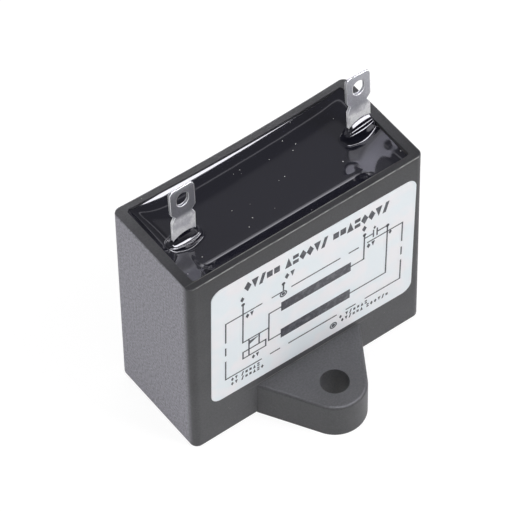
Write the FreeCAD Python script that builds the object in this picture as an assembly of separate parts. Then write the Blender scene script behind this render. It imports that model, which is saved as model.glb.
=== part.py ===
# Motor run capacitor in a moulded pot: a flattened film roll, its leads and two push-on blade terminals,
# potted in black resin in an open-topped plastic case with one mounting ear and a paper diagram label.
# Millimetres, +Z up. The origin is the centre of the case's base. The label and the ear face -Y.

import FreeCAD, Part
import math
import os

from FreeCAD import Vector

# Case
CASE_LENGTH = 47.0
CASE_WIDTH = 21.0
CASE_HEIGHT = 42.0
CASE_CORNER_RADIUS = 1.4
SHARPEST_INNER_CORNER = 0.6
END_WALL = 1.9
SIDE_WALL = 1.4
FLOOR = 1.6
BASE_EDGE_RADIUS = 0.4
RIM_EDGE_RADIUS = 0.3
# The rear wall shrank inwards at mid-length as it cooled, from nothing at the base to this at the rim.
REAR_BOW = 0.45

# Mounting ear, moulded on the front wall and flush with the base
EAR_THICKNESS = 7.4
EAR_ROOT_WIDTH = 21.4
EAR_NOSE_RADIUS = 5.5
EAR_HOLE_REACH = 7.1
EAR_HOLE_DIAMETER = 5.0
EAR_EDGE_RADIUS = 0.6

# Potting resin: its flat middle lies below the rim, and it climbs the walls and the terminals
RESIN_DEPTH_BELOW_RIM = 2.2
WALL_CLIMB = 1.5
WALL_CLIMB_SPREAD = 2.8
CLIMB_POWER = 2.4
CLIMB_STEPS = 5
RESIN_FILM = 0.08
FLAT_CORNER_GROWTH = 0.5

# Blade terminal, stamped from strip
BLADE_THICKNESS = 0.5
BLADE_ABOVE_FOOT = 12.0
HEAD_WIDTH = 4.75
HEAD_LENGTH = 5.2
HEAD_CORNER_RADIUS = 0.9
HEAD_FOOT_RADIUS = 0.35
NOTCH_DEPTH = 0.75
NOTCH_ROOT_RADIUS = 0.12
STAMPED_CORNER_RADIUS = 0.3
NOTCH_UPPER_FLANK = 0.85
NOTCH_LOWER_FLANK = 1.25
NECK_WIDTH = 4.5
FOOT_WIDTH = 4.4
TAIL_WIDTH = 3.6
TAIL_LENGTH = 6.0
TAIL_SHOULDER_DEPTH = 1.6
BLADE_HOLE_WIDTH = 2.3
BLADE_HOLE_HEIGHT = 3.0
BLADE_HOLE_BELOW_TIP = 2.7
TIP_BEVEL_LENGTH = 0.5
TIP_THICKNESS = 0.3

# Where each terminal stands: its distance from the inside of its end wall, and the height of its foot above
# the resin's level. It was left leaning: neck and head lean to the rear, and all of it may be crooked to the
# side. Its resin collar has a height and a spread of its own, and follows the neck's lean.
TERMINALS = {
    "left": dict(
        side=-1,
        from_end_wall=4.7,
        y=-0.1,
        foot=1.3,
        neck_lean=0.5,
        head_lean=2.5,
        crook=0.0,
        collar=2.1,
        spread=2.5,
    ),
    "right": dict(
        side=1,
        from_end_wall=2.9,
        y=0.5,
        foot=1.7,
        neck_lean=6.0,
        head_lean=5.0,
        crook=2.0,
        collar=2.8,
        spread=3.2,
    ),
}

# Film winding, lying along the case: a roll pressed flat, wrapped in plain film, with sprayed metal ends
WINDING_END_ROOM = 5.1
WINDING_THICKNESS = 13.6
WINDING_HEIGHT = 24.2
WRAP_THICKNESS = 0.4
SPRAY_THICKNESS = 0.5
WINDING_ABOVE_FLOOR = 1.4

# Lead wires and solder
WIRE_DIAMETER = 0.8
SOLDER_FILM = 0.12
WIRE_START_BELOW_WINDING_MIDDLE = 3.0
WIRE_TAIL_OVERLAP = 3.6
END_SOLDER_HEIGHT = 1.5
END_SOLDER_DIAMETER = 4.8
TAIL_SOLDER_DIAMETER = 2.4

# Label on the front wall, stuck on a little askew
LABEL_WIDTH = 41.3
LABEL_HEIGHT = 28.6
LABEL_THICKNESS = 0.12
LABEL_CORNER_RADIUS = 2.0
LABEL_OFFSET_X = 1.0
LABEL_MIDDLE_Z = 23.5
LABEL_TURN = 1.4

# Worked out from the sizes above
CAVITY_LENGTH = CASE_LENGTH - 2 * END_WALL
CAVITY_WIDTH = CASE_WIDTH - 2 * SIDE_WALL
CAVITY_CORNER_RADIUS = max(CASE_CORNER_RADIUS - SIDE_WALL, SHARPEST_INNER_CORNER)
FRONT_FACE_Y = -CASE_WIDTH / 2
RESIN_LEVEL = CASE_HEIGHT - RESIN_DEPTH_BELOW_RIM
WINDING_MIDDLE_Z = FLOOR + WINDING_ABOVE_FLOOR + WRAP_THICKNESS + WINDING_HEIGHT / 2
WINDING_LENGTH = CAVITY_LENGTH - 2 * WINDING_END_ROOM
SPRAY_FACE_X = WINDING_LENGTH / 2 + SPRAY_THICKNESS
WIRE_RADIUS = WIRE_DIAMETER / 2
NOTCH_APEX_BELOW_TIP = HEAD_LENGTH + NOTCH_UPPER_FLANK

# Two places nearer than this are the same
SAME_PLACE = 1e-4


def rounded_outline(corners, place):
    """Closed wire through corners (u, v, radius), each rounded to its radius, set in space by place(u, v)."""
    count = len(corners)
    starts = []
    ends = []
    arcs = []
    for index, (u, v, radius) in enumerate(corners):
        corner = Vector(u, v, 0)
        before = (Vector(*corners[index - 1][:2], 0) - corner).normalize()
        after = (Vector(*corners[(index + 1) % count][:2], 0) - corner).normalize()
        half_angle = before.getAngle(after) / 2
        reach = radius / math.tan(half_angle)
        middle = (before + after).normalize() * (radius / math.sin(half_angle) - radius)
        starts.append(corner + before * reach)
        ends.append(corner + after * reach)
        arcs.append(corner + middle if radius > 0 else None)
    edges = []
    for index in range(count):
        run = [ends[index - 1], starts[index]]
        edges.append(Part.LineSegment(*[place(p.x, p.y) for p in run]).toShape())
        if arcs[index] is not None:
            turn = [starts[index], arcs[index], ends[index]]
            edges.append(Part.Arc(*[place(p.x, p.y) for p in turn]).toShape())
    return Part.Wire(edges)


def rectangle_corners(length, width, radius):
    """Corners for rounded_outline of a rectangle about the origin."""
    signs = [(-1, -1), (1, -1), (1, 1), (-1, 1)]
    return [(length / 2 * a, width / 2 * b, radius) for a, b in signs]


def outward(solid):
    """The solid with its faces turned outwards."""
    if solid.Volume < 0:
        solid.reverse()
    return solid


def oblong_outline(width, height, middle, place):
    """Closed wire of two straight sides joined by half rounds, centred at height middle."""
    half = width / 2
    low = middle - height / 2 + half
    high = middle + height / 2 - half
    edges = [
        Part.LineSegment(place(-half, low), place(-half, high)),
        Part.Arc(place(-half, high), place(0, high + half), place(half, high)),
        Part.LineSegment(place(half, high), place(half, low)),
        Part.Arc(place(half, low), place(0, low - half), place(-half, low)),
    ]
    return Part.Wire([edge.toShape() for edge in edges])


def prism(outline, run):
    """Solid of a closed flat outline moved along run."""
    return outward(Part.Face(outline).extrude(run))


def solid_through(levels, straight):
    """Solid through closed outlines from the lowest up, with straight or smooth sides."""
    return outward(Part.makeLoft(levels, True, straight))


def facing_front(y):
    """Place for an outline that stands in a plane across Y."""
    return lambda u, v: Vector(u, y, v)


def facing_end(x):
    """Place for an outline that stands in a plane across X."""
    return lambda u, v: Vector(x, u, v)


def bow_at(z):
    """How far the rear wall bows inwards at mid-length, at height z."""
    return REAR_BOW * z / CASE_HEIGHT


def pot_outline(length, width, radius, z):
    """Level outline of the pot or its cavity: a rounded rectangle whose rear side bows inwards."""
    half_l = length / 2
    half_w = width / 2
    bow = bow_at(z)
    diagonal = radius * (1 - math.sqrt(0.5))
    front_left = Vector(-half_l + radius, -half_w, z)
    front_right = Vector(half_l - radius, -half_w, z)
    right_front = Vector(half_l, -half_w + radius, z)
    right_rear = Vector(half_l, half_w - radius, z)
    rear_right = Vector(half_l - radius, half_w, z)
    rear_left = Vector(-half_l + radius, half_w, z)
    left_rear = Vector(-half_l, half_w - radius, z)
    left_front = Vector(-half_l, -half_w + radius, z)
    if bow > 0:
        rear = Part.Arc(rear_right, Vector(0, half_w - bow, z), rear_left)
    else:
        rear = Part.LineSegment(rear_right, rear_left)
    edges = [
        Part.LineSegment(front_left, front_right),
        Part.Arc(front_right, Vector(half_l - diagonal, -half_w + diagonal, z), right_front),
        Part.LineSegment(right_front, right_rear),
        Part.Arc(right_rear, Vector(half_l - diagonal, half_w - diagonal, z), rear_right),
        rear,
        Part.Arc(rear_left, Vector(-half_l + diagonal, half_w - diagonal, z), left_rear),
        Part.LineSegment(left_rear, left_front),
        Part.Arc(left_front, Vector(-half_l + diagonal, -half_w + diagonal, z), front_left),
    ]
    return Part.Wire([edge.toShape() for edge in edges])


def pot_block(length, width, radius, low):
    """Solid of the pot's outline from low up to the rim."""
    return solid_through([pot_outline(length, width, radius, z) for z in (low, CASE_HEIGHT)], True)


def make_cavity():
    """The space inside the case, from its floor to its rim."""
    return pot_block(CAVITY_LENGTH, CAVITY_WIDTH, CAVITY_CORNER_RADIUS, FLOOR)


def edges_at_height(shape, z):
    """Edges that lie wholly at height z."""
    found = []
    for edge in shape.Edges:
        box = edge.BoundBox
        if abs(box.ZMin - z) < SAME_PLACE and abs(box.ZMax - z) < SAME_PLACE:
            found.append(edge)
    return found


def make_ear():
    """Plate with two straight sides that run tangent into a round nose about its screw hole."""
    half_root = EAR_ROOT_WIDTH / 2
    hole = Vector(0, FRONT_FACE_Y - EAR_HOLE_REACH, 0)
    root = Vector(half_root, FRONT_FACE_Y, 0)
    span = math.hypot(half_root, EAR_HOLE_REACH)
    to_root = math.atan2(root.y - hole.y, root.x - hole.x)
    tangent_angle = to_root - math.acos(EAR_NOSE_RADIUS / span)
    touch_x = EAR_NOSE_RADIUS * math.cos(tangent_angle)
    touch_y = hole.y + EAR_NOSE_RADIUS * math.sin(tangent_angle)
    tip = Vector(0, hole.y - EAR_NOSE_RADIUS, 0)
    inside_y = FRONT_FACE_Y + SIDE_WALL / 2
    points = [
        Vector(-touch_x, touch_y, 0),
        Vector(-half_root, FRONT_FACE_Y, 0),
        Vector(-half_root, inside_y, 0),
        Vector(half_root, inside_y, 0),
        Vector(half_root, FRONT_FACE_Y, 0),
        Vector(touch_x, touch_y, 0),
    ]
    edges = [Part.LineSegment(a, b).toShape() for a, b in zip(points, points[1:])]
    edges.append(Part.Arc(points[-1], tip, points[0]).toShape())
    plate = prism(Part.Wire(edges), Vector(0, 0, EAR_THICKNESS))
    upper = edges_at_height(plate, EAR_THICKNESS)
    outer = [edge for edge in upper if edge.BoundBox.YMin < FRONT_FACE_Y - SAME_PLACE]
    plate = plate.makeFillet(EAR_EDGE_RADIUS, outer)
    bore = Part.makeCylinder(EAR_HOLE_DIAMETER / 2, EAR_THICKNESS, hole)
    return plate.cut(bore)


def make_case():
    """One moulding: open-topped pot with upright corners rounded, and the mounting ear."""
    outside = pot_block(CASE_LENGTH, CASE_WIDTH, CASE_CORNER_RADIUS, 0)
    outside = outside.makeFillet(BASE_EDGE_RADIUS, edges_at_height(outside, 0))
    outside = outside.makeFillet(RIM_EDGE_RADIUS, edges_at_height(outside, CASE_HEIGHT))
    return outside.fuse(make_ear()).cut(make_cavity())


def climb_levels(climb, spread):
    """Steps of a meniscus as (distance from what it climbs, height above the resin's level)."""
    steps = []
    for index in range(CLIMB_STEPS + 1):
        part = index / CLIMB_STEPS
        steps.append((spread * (1 - part) + RESIN_FILM, climb * part ** CLIMB_POWER))
    return steps


def make_dish():
    """The hollow over the resin: its outline widens as it rises, so that the resin climbs the walls."""
    levels = []
    for gap, rise in climb_levels(WALL_CLIMB, WALL_CLIMB_SPREAD):
        length = CAVITY_LENGTH - 2 * gap
        width = CAVITY_WIDTH - 2 * gap
        radius = CAVITY_CORNER_RADIUS + FLAT_CORNER_GROWTH * gap
        levels.append(pot_outline(length, width, radius, RESIN_LEVEL + rise))
    return solid_through(levels, False)


def terminal_x(terminal):
    """Middle of a terminal along the case."""
    return terminal["side"] * (CAVITY_LENGTH / 2 - terminal["from_end_wall"])


def foot_level(terminal):
    """Height of the terminal's foot, from which its neck leans."""
    return RESIN_LEVEL + terminal["foot"]


def collar_arc(terminal):
    """The collar's concave side in (reach, height): it leaves the flat level and ends at the blade's face."""
    foot = Vector(BLADE_THICKNESS / 2 + terminal["spread"], -RESIN_FILM / 2, 0)
    top = Vector(BLADE_THICKNESS / 2 + RESIN_FILM, terminal["collar"], 0)
    run = foot.x - top.x
    rise = top.y - foot.y
    radius = (run ** 2 + rise ** 2) / (2 * rise)
    half_turn = math.asin(run / radius) / 2
    middle = Vector(foot.x - radius * math.sin(half_turn), foot.y + radius * (1 - math.cos(half_turn)), 0)
    return foot, middle, top


def make_collar(terminal):
    """Resin that climbs a terminal: a mound, straight along the blade's faces and round at its two edges."""
    foot, middle, top = collar_arc(terminal)
    half_run = FOOT_WIDTH / 2 - BLADE_THICKNESS / 2
    right = [Vector(half_run, -p.x, p.y) for p in (foot, middle, top)]
    left = [Vector(half_run, p.x, p.y) for p in (foot, middle, top)]
    axis_foot = Vector(half_run, 0, foot.y)
    axis_top = Vector(half_run, 0, top.y)
    across = [
        Part.Arc(*right),
        Part.LineSegment(right[2], left[2]),
        Part.Arc(*left[::-1]),
        Part.LineSegment(left[0], right[0]),
    ]
    half = [
        Part.Arc(*right),
        Part.LineSegment(right[2], axis_top),
        Part.LineSegment(axis_top, axis_foot),
        Part.LineSegment(axis_foot, right[0]),
    ]
    run = prism(Part.Wire([edge.toShape() for edge in across]), Vector(-2 * half_run, 0, 0))
    end_face = Part.Face(Part.Wire([edge.toShape() for edge in half]))
    end = outward(end_face.revolve(axis_foot, Vector(0, 0, 1), 180))
    other_end = end.copy()
    other_end.rotate(Vector(0, 0, 0), Vector(0, 0, 1), 180)
    mound = run.fuse([end, other_end])
    lean = math.tan(math.radians(terminal["neck_lean"])) * (terminal["collar"] - terminal["foot"])
    mound.translate(Vector(terminal_x(terminal), terminal["y"] + lean, RESIN_LEVEL))
    return mound


def make_resin(embedded):
    """Resin that fills the case, with its climbing edges, around everything that is potted in it."""
    cavity = make_cavity()
    above = Part.makeBox(CASE_LENGTH, CASE_WIDTH, CASE_HEIGHT)
    above.translate(Vector(-CASE_LENGTH / 2, -CASE_WIDTH / 2, RESIN_LEVEL + WALL_CLIMB))
    resin = cavity.cut(above).cut(make_dish())
    for terminal in TERMINALS.values():
        resin = resin.fuse(make_collar(terminal).common(cavity))
    for piece in embedded:
        resin = resin.cut(piece)
    return resin


def strip_outline(stations):
    """Side profile of a bent strip from stations (y, z, thickness) along its middle line."""
    rear = []
    front = []
    for index, (y, z, thickness) in enumerate(stations):
        last = stations[max(index - 1, 0)]
        following = stations[min(index + 1, len(stations) - 1)]
        along = Vector(0, following[0] - last[0], following[1] - last[1]).normalize()
        across = Vector(0, along.z, -along.y) * (thickness / 2)
        rear.append(Vector(0, y, z) + across)
        front.append(Vector(0, y, z) - across)
    loop = rear + front[::-1]
    return Part.makePolygon(loop + loop[:1])


def blade_front_outline():
    """Outline of the flat blade about its foot: head, notches and neck, then foot and tail in the resin."""
    tip = BLADE_ABOVE_FOOT
    half_head = HEAD_WIDTH / 2
    right = [
        (TAIL_WIDTH / 2, -TAIL_LENGTH, STAMPED_CORNER_RADIUS),
        (TAIL_WIDTH / 2, -TAIL_SHOULDER_DEPTH - (FOOT_WIDTH - TAIL_WIDTH) / 2, STAMPED_CORNER_RADIUS),
        (FOOT_WIDTH / 2, -TAIL_SHOULDER_DEPTH, STAMPED_CORNER_RADIUS),
        (FOOT_WIDTH / 2, 0, 0),
        (NECK_WIDTH / 2, tip - NOTCH_APEX_BELOW_TIP - NOTCH_LOWER_FLANK, STAMPED_CORNER_RADIUS),
        (half_head - NOTCH_DEPTH, tip - NOTCH_APEX_BELOW_TIP, NOTCH_ROOT_RADIUS),
        (half_head, tip - HEAD_LENGTH, HEAD_FOOT_RADIUS),
        (half_head, tip, HEAD_CORNER_RADIUS),
    ]
    left = [(-u, v, radius) for u, v, radius in reversed(right)]
    return right + left


def make_terminal(terminal):
    """Blade terminal: a bent strip cut to the stamped outline, with an oblong hole near its tip."""
    neck = BLADE_ABOVE_FOOT - NOTCH_APEX_BELOW_TIP
    neck_lean = math.radians(terminal["neck_lean"])
    head_lean = math.radians(terminal["head_lean"])
    bevel_start = NOTCH_APEX_BELOW_TIP - TIP_BEVEL_LENGTH
    neck_y = neck * math.sin(neck_lean)
    stations = [(0, -TAIL_LENGTH, BLADE_THICKNESS), (0, 0, BLADE_THICKNESS), (neck_y, neck, BLADE_THICKNESS)]
    for reach, thickness in ((bevel_start, BLADE_THICKNESS), (NOTCH_APEX_BELOW_TIP, TIP_THICKNESS)):
        stations.append((neck_y + reach * math.sin(head_lean), neck + reach * math.cos(head_lean), thickness))
    strip = prism(strip_outline(stations), Vector(HEAD_WIDTH, 0, 0))
    strip.translate(Vector(-HEAD_WIDTH / 2, 0, 0))
    depth = BLADE_ABOVE_FOOT
    through = Vector(0, 2 * depth, 0)
    stamp = prism(rounded_outline(blade_front_outline(), facing_front(-depth)), through)
    hole_z = BLADE_ABOVE_FOOT - BLADE_HOLE_BELOW_TIP
    slot = prism(oblong_outline(BLADE_HOLE_WIDTH, BLADE_HOLE_HEIGHT, hole_z, facing_front(-depth)), through)
    blade = strip.common(stamp).cut(slot)
    blade.rotate(Vector(0, 0, 0), Vector(0, 1, 0), terminal["crook"])
    blade.translate(Vector(terminal_x(terminal), terminal["y"], foot_level(terminal)))
    return blade


def winding_section(extra, x):
    """Outline across the winding at x, grown by extra on all sides."""
    return oblong_outline(
        WINDING_THICKNESS + 2 * extra, WINDING_HEIGHT + 2 * extra, WINDING_MIDDLE_Z, facing_end(x)
    )


def make_winding():
    """The roll's turns of metallised film, as one solid."""
    return prism(winding_section(0, -WINDING_LENGTH / 2), Vector(WINDING_LENGTH, 0, 0))


def make_wrap():
    """Plain film wound round the outside of the roll."""
    around = prism(winding_section(WRAP_THICKNESS, -WINDING_LENGTH / 2), Vector(WINDING_LENGTH, 0, 0))
    return around.cut(make_winding())


def make_spray(terminal):
    """Sprayed metal over the end of the roll on that terminal's side."""
    side = terminal["side"]
    return prism(winding_section(0, side * WINDING_LENGTH / 2), Vector(side * SPRAY_THICKNESS, 0, 0))


def wire_place(terminal):
    """Middle of a lead's foot: a film of solder parts it from the sprayed end and the terminal's tail."""
    x = terminal["side"] * (SPRAY_FACE_X + SOLDER_FILM + WIRE_RADIUS)
    y = terminal["y"] + BLADE_THICKNESS / 2 + SOLDER_FILM + WIRE_RADIUS
    return Vector(x, y, WINDING_MIDDLE_Z - WIRE_START_BELOW_WINDING_MIDDLE)


def make_wire(terminal):
    """Straight tinned lead from the sprayed end up to the terminal's tail."""
    foot = wire_place(terminal)
    top = foot_level(terminal) - TAIL_LENGTH + WIRE_TAIL_OVERLAP
    return Part.makeCylinder(WIRE_RADIUS, top - foot.z, foot)


def make_end_solder(wire, terminal):
    """Dome of solder that holds the lead's foot to the sprayed end."""
    side = terminal["side"]
    base_radius = END_SOLDER_DIAMETER / 2
    ball_radius = (base_radius ** 2 + END_SOLDER_HEIGHT ** 2) / (2 * END_SOLDER_HEIGHT)
    foot = wire_place(terminal)
    middle = Vector(side * (SPRAY_FACE_X + END_SOLDER_HEIGHT - ball_radius), foot.y, foot.z + base_radius / 2)
    ball = Part.makeSphere(ball_radius, middle)
    block = Part.makeBox(END_SOLDER_HEIGHT, 2 * ball_radius, 2 * ball_radius)
    low_x = SPRAY_FACE_X if side > 0 else -SPRAY_FACE_X - END_SOLDER_HEIGHT
    block.translate(Vector(low_x, middle.y - ball_radius, middle.z - ball_radius))
    return ball.common(block).cut(wire)


def make_tail_solder(wire, terminal):
    """Bead of solder that holds the lead to the rear of the terminal's tail."""
    radius = TAIL_SOLDER_DIAMETER / 2
    foot = wire_place(terminal)
    tail_face = terminal["y"] + BLADE_THICKNESS / 2
    middle_z = foot_level(terminal) - TAIL_LENGTH + WIRE_TAIL_OVERLAP / 2
    ball = Part.makeSphere(radius, Vector(foot.x, foot.y, middle_z))
    behind = Part.makeBox(2 * radius, 2 * radius, 2 * radius)
    behind.translate(Vector(foot.x - radius, tail_face, middle_z - radius))
    return ball.common(behind).cut(wire)


def make_label():
    """Paper label with rounded corners, flat on the front wall."""
    corners = rectangle_corners(LABEL_WIDTH, LABEL_HEIGHT, LABEL_CORNER_RADIUS)
    sheet = prism(rounded_outline(corners, facing_front(0)), Vector(0, -LABEL_THICKNESS, 0))
    sheet.rotate(Vector(0, 0, 0), Vector(0, 1, 0), LABEL_TURN)
    sheet.translate(Vector(LABEL_OFFSET_X, FRONT_FACE_Y, LABEL_MIDDLE_Z))
    return sheet


def build():
    """Every piece by name."""
    pieces = {"film_winding": make_winding(), "winding_wrap": make_wrap()}
    for hand, terminal in TERMINALS.items():
        wire = make_wire(terminal)
        pieces["end_spray_" + hand] = make_spray(terminal)
        pieces["lead_wire_" + hand] = wire
        pieces["end_solder_" + hand] = make_end_solder(wire, terminal)
        pieces["tail_solder_" + hand] = make_tail_solder(wire, terminal)
        pieces["terminal_" + hand] = make_terminal(terminal)
    pieces["potting_resin"] = make_resin(list(pieces.values()))
    pieces["case_box"] = make_case()
    pieces["diagram_label"] = make_label()
    return pieces


os.makedirs("parts", exist_ok=True)
for name, shape in build().items():
    if len(shape.Solids) != 1 or not shape.isValid():
        raise ValueError(name + " is not one valid solid")
    shape.Solids[0].exportStep("parts/" + name + ".step")
    print(name, round(shape.Volume, 2), "mm3")
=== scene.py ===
import math

import bmesh
import bpy
import numpy as np
from mathutils import Matrix, Vector


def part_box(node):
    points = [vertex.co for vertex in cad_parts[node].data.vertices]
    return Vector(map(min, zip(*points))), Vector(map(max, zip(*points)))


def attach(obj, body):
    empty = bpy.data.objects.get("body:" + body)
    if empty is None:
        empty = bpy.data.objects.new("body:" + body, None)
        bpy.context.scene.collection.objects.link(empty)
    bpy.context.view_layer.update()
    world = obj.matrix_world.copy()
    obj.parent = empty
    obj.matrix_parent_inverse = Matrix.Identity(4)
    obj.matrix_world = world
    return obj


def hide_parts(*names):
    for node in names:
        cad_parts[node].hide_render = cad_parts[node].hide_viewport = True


bl_info = {
    "name": "Motor Run Capacitor",
    "version": (1, 0, 0),
    "blender": (4, 5, 0),
    "location": "View3D > Sidebar > Capacitor",
    "description": "Finishes a potted motor run capacitor and sets it in a plain studio",
    "category": "Object",
}

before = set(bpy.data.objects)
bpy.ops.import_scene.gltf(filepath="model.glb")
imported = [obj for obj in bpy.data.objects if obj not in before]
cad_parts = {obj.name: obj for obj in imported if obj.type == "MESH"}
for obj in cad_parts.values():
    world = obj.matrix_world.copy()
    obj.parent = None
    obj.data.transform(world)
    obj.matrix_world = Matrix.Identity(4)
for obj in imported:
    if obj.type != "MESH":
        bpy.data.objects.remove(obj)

MM = 0.001
CASE_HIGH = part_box("case_box")[1]
RESIN_LOW, RESIN_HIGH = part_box("potting_resin")
LABEL_LOW, LABEL_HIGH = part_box("diagram_label")
TERMINAL_NODES = ("terminal_left", "terminal_right")
WALL_FRONT = -CASE_HIGH.y
MIDDLE = Vector((0, 0, CASE_HIGH.z / 2))


def linear(hex_colour):
    """An sRGB hex colour as the linear colour and alpha that shaders take."""
    parts = [int(hex_colour[i : i + 2], 16) / 255 for i in (1, 3, 5)]
    return tuple(c / 12.92 if c <= 0.04045 else ((c + 0.055) / 1.055) ** 2.4 for c in parts) + (1.0,)


def colour_property(name, description, hex_colour):
    """A colour that a user can set."""
    colour = linear(hex_colour)
    return bpy.props.FloatVectorProperty(
        name=name, description=description, subtype="COLOR", size=4, min=0, max=1, default=colour
    )


def length_property(name, description, millimetres):
    """A length that a user can set."""
    return bpy.props.FloatProperty(
        name=name, description=description, unit="LENGTH", precision=5, default=millimetres * MM
    )


def angle_property(name, description, degrees):
    """An angle that a user can set."""
    return bpy.props.FloatProperty(
        name=name, description=description, subtype="ANGLE", default=math.radians(degrees)
    )


def share_property(name, description, value):
    """A share from 0 to 1 that a user can set."""
    return bpy.props.FloatProperty(
        name=name, description=description, subtype="FACTOR", min=0, max=1, default=value
    )


def factor_property(name, description, value):
    """A plain factor, which may be above 1."""
    return bpy.props.FloatProperty(name=name, description=description, min=0, max=4, default=value)


class CaseLook(bpy.types.PropertyGroup):
    colour: colour_property("Plastic", "Colour of the smooth walls, the rim and the ear", "#3f3f41")
    # The end walls' paler colour is partly their coarser grain and partly a painted sheen
    end_colour_and_sheen: colour_property("End walls", "Colour of the two coarse-grained end walls", "#7b7a81")
    # This colour also marks the dust and the painted highlight along the rim's inner edge
    worn_dust_and_highlight_colour: colour_property("Worn edge", "Colour where the rim's edges are rubbed", "#82827f")
    grain: length_property("Grain", "Width of the spark-eroded grain on the walls", 0.32)
    end_grain: length_property("End grain", "Width of the coarser grain on the end walls", 0.42)
    grain_height: length_property("Grain height", "Height of the grain", 0.012)
    roughness: share_property("Roughness", "How matt the plastic is", 0.5)
    front_rim_tone: share_property("Front rim", "How pale the rim is at the front", 0.36)
    rear_rim_tone: factor_property("Rear rim", "How pale the rim is at the rear", 1.2)
    # A painted sheen: the ear's top is painted paler than the rest of the plastic
    ear_sheen_tone: factor_property("Ear top", "How pale the ear's top is", 1.75)
    upright_strip: length_property("Upright strip", "Width of the dark strip at the front upright", 2.2)
    dust_spacing: length_property("Dust spacing", "Room round each place where a speck may lie", 2.0)


class ResinLook(bpy.types.PropertyGroup):
    colour: colour_property("Resin", "Colour of the cast resin", "#16161f")
    dust_colour: colour_property("Dust", "Colour of the dust that settled while it cured", "#a9a9a6")
    roughness: share_property("Roughness", "How dull its skin is", 0.07)
    level: length_property("Level", "Height of its surface at the front, above the case's base", 39.8)
    rear_rise: length_property("Rear rise", "How much higher it lies at the rear", 0.5)
    end_climb: length_property("Left climb", "How high it climbs the left end wall", 1.8)
    end_reach: length_property("Left reach", "How fast that climb dies away from the wall", 1.6)
    right_climb: length_property("Right climb", "How high it climbs the right end wall", 1.2)
    right_reach: length_property("Right reach", "How fast that climb dies away from the wall", 2.4)
    spacing: length_property("Dust spacing", "Room round each place where a speck may lie", 1.35)


class TerminalLook(bpy.types.PropertyGroup):
    colour: colour_property("Tin", "Colour of the tinned strip", "#f6f6f8")
    dull_colour: colour_property("Dull tin", "Colour of the tin's dull patches", "#bdbcc4")
    # Painted shade: the blade heads are painted darker, standing in for heads that face away from the light
    left_head_shade_colour: colour_property("Left head", "Colour of the left blade's tarnish", "#8c8c92")
    right_head_shade_colour: colour_property("Right head", "Colour of the right blade's tarnish", "#b2b2b9")
    # A painted highlight: the stamped edges are painted white where their rounding would catch light
    edge_highlight_colour: colour_property("Stamped edge", "Colour of the burnished edges", "#ffffff")
    roughness: share_property("Roughness", "How dull the strip is", 0.42)
    edge: length_property("Edge", "Radius of the stamped edges' rounding", 0.2)
    # Between these two heights the heads' painted shade and their higher metallic come in
    bare_from: length_property("Frosted below", "Height below which flux frosted the tin", 45.6)
    bare_to: length_property("Tarnished above", "Height above which the tin has tarnished", 47.2)
    streak: length_property("Rolling lines", "Width of the lines left by rolling", 0.18)


class LabelLook(bpy.types.PropertyGroup):
    colour: colour_property("Paper", "Colour of the coated paper", "#e9eff3")
    warm_colour: colour_property("Warm paper", "Colour of its warmer patches", "#f0eff2")
    ink: colour_property("Ink", "Colour of the print", "#3a3a42")
    line_width: length_property("Line", "Width of the figure's lines", 0.27)
    ink_height: length_property("Ink height", "How far the print stands off the paper", 0.02)
    turn: angle_property("Turn", "How far the label is turned, right side down", 1.4)


class InnerLook(bpy.types.PropertyGroup):
    film: colour_property("Film", "Colour of the metallised film, edge on", "#a9a9a2")
    wrap: colour_property("Wrap", "Colour of the plain film round the roll", "#d9cfa6")
    spray: colour_property("Spray", "Colour of the sprayed zinc", "#8f9196")
    wire: colour_property("Wire", "Colour of the tinned copper leads", "#c8c8cc")
    solder: colour_property("Solder", "Colour of the solder", "#bfc1c6")


class StageLook(bpy.types.PropertyGroup):
    azimuth: angle_property("Azimuth", "Where the camera stands", -35.74)
    elevation: angle_property("Elevation", "How far it looks down", 51.54)
    roll: angle_property("Roll", "How far it leans", -1.21)
    distance: length_property("Distance", "From the middle of the case to the camera", 681.2)
    side_step: length_property("Side step", "How far to the left of that line it stands", 2.28)
    rise: length_property("Rise", "How far above that line it stands", 1.25)
    lens: bpy.props.FloatProperty(name="Lens", description="Millimetres on a 36 mm sensor", default=291.5)
    floor_colour: colour_property("Floor", "Colour of the floor", "#f4f4f4")


def add_node(tree, kind, inputs=None, **settings):
    """Adds a node with its settings. An input takes a value, or the socket or node that it is linked from.

    A node stands for the first of its outputs that are in use.
    """
    node = tree.nodes.new(kind)
    for name, value in settings.items():
        setattr(node, name, value)
    for name, value in (inputs or {}).items():
        if isinstance(value, bpy.types.Node):
            value = next(output for output in value.outputs if output.enabled)
        if isinstance(value, bpy.types.NodeSocket):
            tree.links.new(value, node.inputs[name])
        else:
            node.inputs[name].default_value = value
    return node


def start_material(name):
    """An empty material, its tree and the object's own coordinates in metres."""
    material = bpy.data.materials.new(name)
    material.use_nodes = True
    tree = material.node_tree
    tree.nodes.clear()
    return material, tree, add_node(tree, "ShaderNodeTexCoord").outputs["Object"]


def add_surface(tree, inputs):
    """Closes a material with its shader and output."""
    shader = add_node(tree, "ShaderNodeBsdfPrincipled", inputs)
    add_node(tree, "ShaderNodeOutputMaterial", {"Surface": shader})


def add_band(tree, value, middle, half):
    """A mask that is 1 within half a band's width of its middle and falls off just past that."""
    off = add_node(tree, "ShaderNodeMath", {0: value, 1: middle}, operation="SUBTRACT")
    away = add_node(tree, "ShaderNodeMath", {0: off}, operation="ABSOLUTE")
    return add_node(
        tree, "ShaderNodeMapRange", {"Value": away, "From Min": half * 1.3, "From Max": half * 0.7}
    )


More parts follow.
